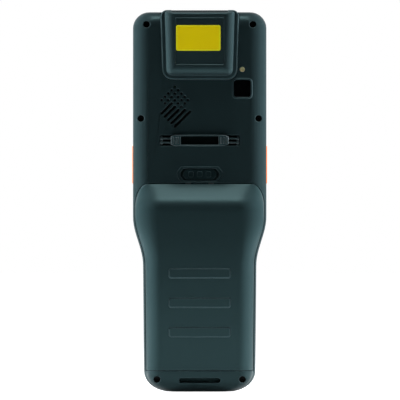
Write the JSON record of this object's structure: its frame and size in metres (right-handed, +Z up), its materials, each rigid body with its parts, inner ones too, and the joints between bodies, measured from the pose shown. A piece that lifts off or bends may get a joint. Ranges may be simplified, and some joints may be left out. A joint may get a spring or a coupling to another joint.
{
  "type": "portable barcode data terminal",
  "caption": "Handheld data terminal with a scan hood at its top end, a hand grip closed by a tilting battery cover, a display and moulded keys.",
  "frame": {"origin": "on the floor under the middle of the terminal as it stands on its bottom end", "axes": "+Z up along the terminal to its scan end, back with the battery cover to -Y, keypad side to +Y, +X to the right seen from the back"},
  "size_m": [0.0708, 0.031, 0.2],
  "materials": {
    "housing": "fine matt moulded plastic",
    "cover_plastic": "fine matt moulded plastic",
    "scan_glass": "dark red filter glass",
    "black_plastic": "matt",
    "bare_steel": "plain sheet",
    "label_yellow": "printed film, bare",
    "black_glass": "polished",
    "flash_plastic": "clear yellow",
    "eye_metal": "satin grey paint",
    "knob_plastic": "matt",
    "screw_steel": "black oxide",
    "battery_wrap": "satin wrap",
    "contact_brass": "plated",
    "seal_rubber": "matt rubber",
    "board_green": "board lacquer",
    "mat_rubber": "silicone",
    "bezel_plastic": "satin",
    "display_dark": "dark panel",
    "light_plastic": "light guide",
    "orange_rubber": "matt",
    "orange_key": "satin",
    "key_plastic": "satin"
  },
  "bodies": {
    "terminal": {"front_housing": "housing", "rear_housing": "housing", "scanner_hood": "housing", "scan_window": "scan_glass", "scan_engine": "black_plastic", "engine_bracket": "bare_steel", "label_plate": "label_yellow", "camera_window": "black_glass", "camera_module": "black_plastic", "flash_lens": "flash_plastic", "speaker": "black_plastic", "speaker_mesh": "bare_steel", "strap_eye": "eye_metal", "housing_screws": "screw_steel", "battery_pack": "battery_wrap", "battery_contacts": "contact_brass", "cover_gasket": "seal_rubber", "housing_seal": "seal_rubber", "main_board": "board_green", "shield_cans": "bare_steel", "keypad_board": "board_green", "keypad_mat": "mat_rubber", "keypad_bezel": "bezel_plastic", "touch_glass": "black_glass", "display_module": "display_dark", "receiver": "black_plastic", "status_light": "light_plastic", "dock_connector": "bare_steel", "side_switches": "black_plastic"},
    "cover": {"battery_cover": "cover_plastic"},
    "latch": {"latch_knob": "knob_plastic", "latch_bolt": "bare_steel"},
    "scan_key_body": {"scan_key": "orange_key"},
    "key_right_body": {"key_right": "key_plastic"},
    "key_up_body": {"key_up": "key_plastic"},
    "key_left_body": {"key_left": "key_plastic"},
    "key_down_body": {"key_down": "key_plastic"},
    "home_key_body": {"home_key": "key_plastic"},
    "power_key_body": {"power_key": "key_plastic"},
    "left_soft_key_body": {"left_soft_key": "key_plastic"},
    "right_soft_key_body": {"right_soft_key": "key_plastic"},
    "key_point_body": {"key_point": "key_plastic"},
    "key_0_body": {"key_0": "key_plastic"},
    "key_fn_body": {"key_fn": "key_plastic"},
    "key_enter_body": {"key_enter": "key_plastic"},
    "key_7_body": {"key_7": "key_plastic"},
    "key_8_body": {"key_8": "key_plastic"},
    "key_9_body": {"key_9": "key_plastic"},
    "key_shift_body": {"key_shift": "key_plastic"},
    "key_4_body": {"key_4": "key_plastic"},
    "key_5_body": {"key_5": "key_plastic"},
    "key_6_body": {"key_6": "key_plastic"},
    "key_tab_body": {"key_tab": "key_plastic"},
    "key_1_body": {"key_1": "key_plastic"},
    "key_2_body": {"key_2": "key_plastic"},
    "key_3_body": {"key_3": "key_plastic"},
    "key_delete_body": {"key_delete": "key_plastic"},
    "side_key_left_body": {"side_key_left": "orange_rubber"},
    "side_key_right_body": {"side_key_right": "orange_rubber"}
  },
  "joints": [
    {"name": "cover_tilt", "type": "hinge", "parent": "terminal", "child": "cover", "pos_m": [0, -0.0095, 0.0111], "axis": [1, 0, 0], "range_deg": [0, 60]},
    {"name": "latch_slide", "type": "slide", "parent": "terminal", "child": "latch", "axis": [1, 0, 0], "range_m": [-0.0015, 0.0015]},
    {"name": "scan_key_press", "type": "slide", "parent": "terminal", "child": "scan_key_body", "axis": [0, -1, 0], "range_m": [0, 0.0006], "stiffness_N_per_m": 800, "springref_m": -0.0003},
    {"name": "key_right_press", "type": "slide", "parent": "terminal", "child": "key_right_body", "axis": [0, -1, 0], "range_m": [0, 0.0006], "stiffness_N_per_m": 800, "springref_m": -0.0003},
    {"name": "key_up_press", "type": "slide", "parent": "terminal", "child": "key_up_body", "axis": [0, -1, 0], "range_m": [0, 0.0006], "stiffness_N_per_m": 800, "springref_m": -0.0003},
    {"name": "key_left_press", "type": "slide", "parent": "terminal", "child": "key_left_body", "axis": [0, -1, 0], "range_m": [0, 0.0006], "stiffness_N_per_m": 800, "springref_m": -0.0003},
    {"name": "key_down_press", "type": "slide", "parent": "terminal", "child": "key_down_body", "axis": [0, -1, 0], "range_m": [0, 0.0006], "stiffness_N_per_m": 800, "springref_m": -0.0003},
    {"name": "home_key_press", "type": "slide", "parent": "terminal", "child": "home_key_body", "axis": [0, -1, 0], "range_m": [0, 0.0006], "stiffness_N_per_m": 800, "springref_m": -0.0003},
    {"name": "power_key_press", "type": "slide", "parent": "terminal", "child": "power_key_body", "axis": [0, -1, 0], "range_m": [0, 0.0006], "stiffness_N_per_m": 800, "springref_m": -0.0003},
    {"name": "left_soft_key_press", "type": "slide", "parent": "terminal", "child": "left_soft_key_body", "axis": [0, -1, 0], "range_m": [0, 0.0006], "stiffness_N_per_m": 800, "springref_m": -0.0003},
    {"name": "right_soft_key_press", "type": "slide", "parent": "terminal", "child": "right_soft_key_body", "axis": [0, -1, 0], "range_m": [0, 0.0006], "stiffness_N_per_m": 800, "springref_m": -0.0003},
    {"name": "key_point_press", "type": "slide", "parent": "terminal", "child": "key_point_body", "axis": [0, -1, 0], "range_m": [0, 0.0006], "stiffness_N_per_m": 800, "springref_m": -0.0003},
    {"name": "key_0_press", "type": "slide", "parent": "terminal", "child": "key_0_body", "axis": [0, -1, 0], "range_m": [0, 0.0006], "stiffness_N_per_m": 800, "springref_m": -0.0003},
    {"name": "key_fn_press", "type": "slide", "parent": "terminal", "child": "key_fn_body", "axis": [0, -1, 0], "range_m": [0, 0.0006], "stiffness_N_per_m": 800, "springref_m": -0.0003},
    {"name": "key_enter_press", "type": "slide", "parent": "terminal", "child": "key_enter_body", "axis": [0, -1, 0], "range_m": [0, 0.0006], "stiffness_N_per_m": 800, "springref_m": -0.0003},
    {"name": "key_7_press", "type": "slide", "parent": "terminal", "child": "key_7_body", "axis": [0, -1, 0], "range_m": [0, 0.0006], "stiffness_N_per_m": 800, "springref_m": -0.0003},
    {"name": "key_8_press", "type": "slide", "parent": "terminal", "child": "key_8_body", "axis": [0, -1, 0], "range_m": [0, 0.0006], "stiffness_N_per_m": 800, "springref_m": -0.0003},
    {"name": "key_9_press", "type": "slide", "parent": "terminal", "child": "key_9_body", "axis": [0, -1, 0], "range_m": [0, 0.0006], "stiffness_N_per_m": 800, "springref_m": -0.0003},
    {"name": "key_shift_press", "type": "slide", "parent": "terminal", "child": "key_shift_body", "axis": [0, -1, 0], "range_m": [0, 0.0006], "stiffness_N_per_m": 800, "springref_m": -0.0003},
    {"name": "key_4_press", "type": "slide", "parent": "terminal", "child": "key_4_body", "axis": [0, -1, 0], "range_m": [0, 0.0006], "stiffness_N_per_m": 800, "springref_m": -0.0003},
    {"name": "key_5_press", "type": "slide", "parent": "terminal", "child": "key_5_body", "axis": [0, -1, 0], "range_m": [0, 0.0006], "stiffness_N_per_m": 800, "springref_m": -0.0003},
    {"name": "key_6_press", "type": "slide", "parent": "terminal", "child": "key_6_body", "axis": [0, -1, 0], "range_m": [0, 0.0006], "stiffness_N_per_m": 800, "springref_m": -0.0003},
    {"name": "key_tab_press", "type": "slide", "parent": "terminal", "child": "key_tab_body", "axis": [0, -1, 0], "range_m": [0, 0.0006], "stiffness_N_per_m": 800, "springref_m": -0.0003},
    {"name": "key_1_press", "type": "slide", "parent": "terminal", "child": "key_1_body", "axis": [0, -1, 0], "range_m": [0, 0.0006], "stiffness_N_per_m": 800, "springref_m": -0.0003},
    {"name": "key_2_press", "type": "slide", "parent": "terminal", "child": "key_2_body", "axis": [0, -1, 0], "range_m": [0, 0.0006], "stiffness_N_per_m": 800, "springref_m": -0.0003},
    {"name": "key_3_press", "type": "slide", "parent": "terminal", "child": "key_3_body", "axis": [0, -1, 0], "range_m": [0, 0.0006], "stiffness_N_per_m": 800, "springref_m": -0.0003},
    {"name": "key_delete_press", "type": "slide", "parent": "terminal", "child": "key_delete_body", "axis": [0, -1, 0], "range_m": [0, 0.0006], "stiffness_N_per_m": 800, "springref_m": -0.0003},
    {"name": "side_key_left_press", "type": "slide", "parent": "terminal", "child": "side_key_left_body", "axis": [1, 0, 0], "range_m": [0, 0.0006], "stiffness_N_per_m": 800, "springref_m": -0.0003},
    {"name": "side_key_right_press", "type": "slide", "parent": "terminal", "child": "side_key_right_body", "axis": [-1, 0, 0], "range_m": [0, 0.0006], "stiffness_N_per_m": 800, "springref_m": -0.0003}
  ]
}
